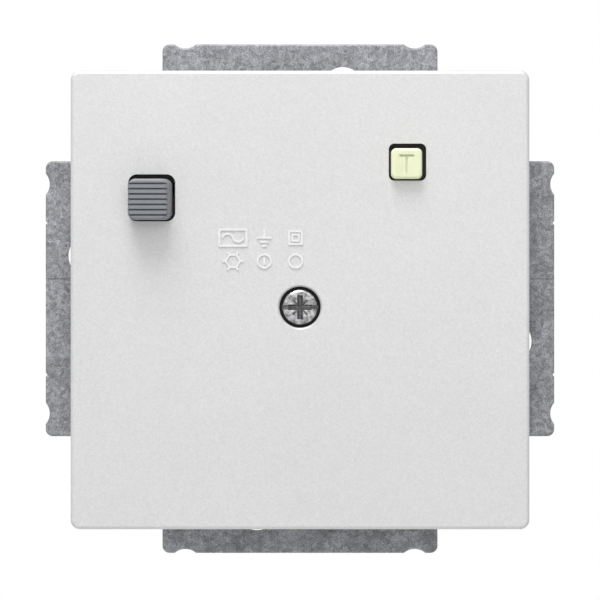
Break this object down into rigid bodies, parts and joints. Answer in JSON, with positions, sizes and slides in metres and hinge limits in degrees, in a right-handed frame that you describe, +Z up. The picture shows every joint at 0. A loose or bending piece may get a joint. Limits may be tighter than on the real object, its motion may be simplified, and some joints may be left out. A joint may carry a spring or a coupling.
{
  "type": "flush residual current switch insert",
  "caption": "Flush wall insert that cuts the supply on a leakage current, with a square cover plate, a ribbed reset button, a test button and a steel support ring.",
  "frame": {"origin": "centre of the support ring's back face, on the wall's surface", "axes": "+X to the right and +Z up as seen from the room, +Y into the wall"},
  "size_m": [0.071, 0.0494, 0.071],
  "materials": {
    "silver_paint": "satin",
    "zinc_steel": "satin",
    "bright_steel": "polished",
    "spring_steel": "satin",
    "brass": "satin",
    "copper": "satin",
    "silver_alloy": "satin",
    "grey_button": "matte",
    "pale_green_button": "satin",
    "white_housing": "matte",
    "black_housing": "matte",
    "beige_mechanism": "matte",
    "ferrite": "matte",
    "winding": "satin",
    "board_green": "satin",
    "component_body": "satin",
    "wire_sleeve": "satin"
  },
  "bodies": {
    "insert": {"cover_plate": "silver_paint", "support_ring": "zinc_steel", "cover_screw": "bright_steel", "cover_screw_insert": "brass", "front_housing": "white_housing", "rear_housing": "black_housing", "guide_deck": "beige_mechanism", "mechanism_chassis": "beige_mechanism", "housing_screws": "zinc_steel", "reset_spring": "spring_steel", "fixed_contact_tips": "silver_alloy", "opening_springs": "spring_steel", "guide_pins": "bright_steel", "line_contact_in": "copper", "neutral_contact_in": "copper", "line_contact_out": "copper", "neutral_contact_out": "copper", "line_terminal_bar_out": "copper", "neutral_terminal_bar_out": "copper", "line_primary": "copper", "neutral_primary": "wire_sleeve", "latch_pin": "bright_steel", "trip_relay": "black_housing", "circuit_board": "board_green", "capacitor": "component_body", "diodes": "black_housing", "transformer_core": "ferrite", "secondary_winding": "winding", "test_leaf_clamp": "brass", "test_contact_post": "brass", "test_resistor": "component_body"},
    "reset_key": {"reset_button": "grey_button"},
    "moving_contacts": {"contact_carrier": "beige_mechanism", "line_bridge_contact": "copper", "neutral_bridge_contact": "copper", "moving_contact_tips": "silver_alloy", "contact_springs": "spring_steel"},
    "latch": {"latch_lever": "zinc_steel"},
    "plunger": {"trip_plunger": "bright_steel"},
    "test_key": {"test_button": "pale_green_button"},
    "test_spring": {"test_leaf": "spring_steel"},
    "line_in_screw": {"line_in_terminal_screw": "bright_steel"},
    "line_in_cage": {"line_in_terminal_cage": "zinc_steel"},
    "line_out_screw": {"line_out_terminal_screw": "bright_steel"},
    "line_out_cage": {"line_out_terminal_cage": "zinc_steel"},
    "neutral_in_screw": {"neutral_in_terminal_screw": "bright_steel"},
    "neutral_in_cage": {"neutral_in_terminal_cage": "zinc_steel"},
    "neutral_out_screw": {"neutral_out_terminal_screw": "bright_steel"},
    "neutral_out_cage": {"neutral_out_terminal_cage": "zinc_steel"}
  },
  "joints": [
    {"name": "reset_press", "type": "slide", "parent": "insert", "child": "reset_key", "axis": [0, 1, 0], "range_m": [0, 0.0028], "stiffness_N_per_m": 400, "springref_m": -0.003, "deforming": ["reset_spring", "opening_springs"]},
    {"name": "carrier_travel", "type": "slide", "parent": "insert", "child": "moving_contacts", "axis": [0, 1, 0], "range_m": [0, 0.0028]},
    {"name": "latch_pivot", "type": "hinge", "parent": "insert", "child": "latch", "pos_m": [0, 0.0142, -0.0092], "axis": [1, 0, 0], "range_deg": [-15, 0]},
    {"name": "plunger_slide", "type": "slide", "parent": "insert", "child": "plunger", "axis": [0, 1, 0], "range_m": [-0.00115, 0]},
    {"name": "test_press", "type": "slide", "parent": "insert", "child": "test_key", "axis": [0, 1, 0], "range_m": [0, 0.0012], "stiffness_N_per_m": 300, "springref_m": -0.002},
    {"name": "test_leaf_bend", "type": "hinge", "parent": "insert", "child": "test_spring", "pos_m": [-0.001, 0.00465, 0.012], "axis": [0, 0, 1], "range_deg": [0, 5.8]},
    {"name": "line_in_cage_rise", "type": "slide", "parent": "insert", "child": "line_in_cage", "axis": [0, 1, 0], "range_m": [0, 0.00358]},
    {"name": "line_in_screw_turn", "type": "hinge", "parent": "insert", "child": "line_in_screw", "pos_m": [-0.008, 0.0332, 0.0174], "axis": [0, -1, 0], "range_deg": [0, 2150]},
    {"name": "line_out_cage_rise", "type": "slide", "parent": "insert", "child": "line_out_cage", "axis": [0, 1, 0], "range_m": [0, 0.00358]},
    {"name": "line_out_screw_turn", "type": "hinge", "parent": "insert", "child": "line_out_screw", "pos_m": [-0.008, 0.0332, -0.0174], "axis": [0, -1, 0], "range_deg": [0, 2150]},
    {"name": "neutral_in_cage_rise", "type": "slide", "parent": "insert", "child": "neutral_in_cage", "axis": [0, 1, 0], "range_m": [0, 0.00358]},
    {"name": "neutral_in_screw_turn", "type": "hinge", "parent": "insert", "child": "neutral_in_screw", "pos_m": [0.008, 0.0332, 0.0174], "axis": [0, -1, 0], "range_deg": [0, 2150]},
    {"name": "neutral_out_cage_rise", "type": "slide", "parent": "insert", "child": "neutral_out_cage", "axis": [0, 1, 0], "range_m": [0, 0.00358]},
    {"name": "neutral_out_screw_turn", "type": "hinge", "parent": "insert", "child": "neutral_out_screw", "pos_m": [0.008, 0.0332, -0.0174], "axis": [0, -1, 0], "range_deg": [0, 2150]}
  ],
  "couplings": [
    {"joint": "carrier_travel", "follows": "reset_press", "ratio": 1},
    {"joint": "latch_pivot", "follows": "reset_press", "rad_per_m": -92.857},
    {"joint": "plunger_slide", "follows": "reset_press", "ratio": -0.4},
    {"joint": "test_leaf_bend", "follows": "test_press", "rad_per_m": 83.333},
    {"joint": "line_in_screw_turn", "follows": "line_in_cage_rise", "rad_per_m": 10472},
    {"joint": "line_out_screw_turn", "follows": "line_out_cage_rise", "rad_per_m": 10472},
    {"joint": "neutral_in_screw_turn", "follows": "neutral_in_cage_rise", "rad_per_m": 10472},
    {"joint": "neutral_out_screw_turn", "follows": "neutral_out_cage_rise", "rad_per_m": 10472}
  ]
}
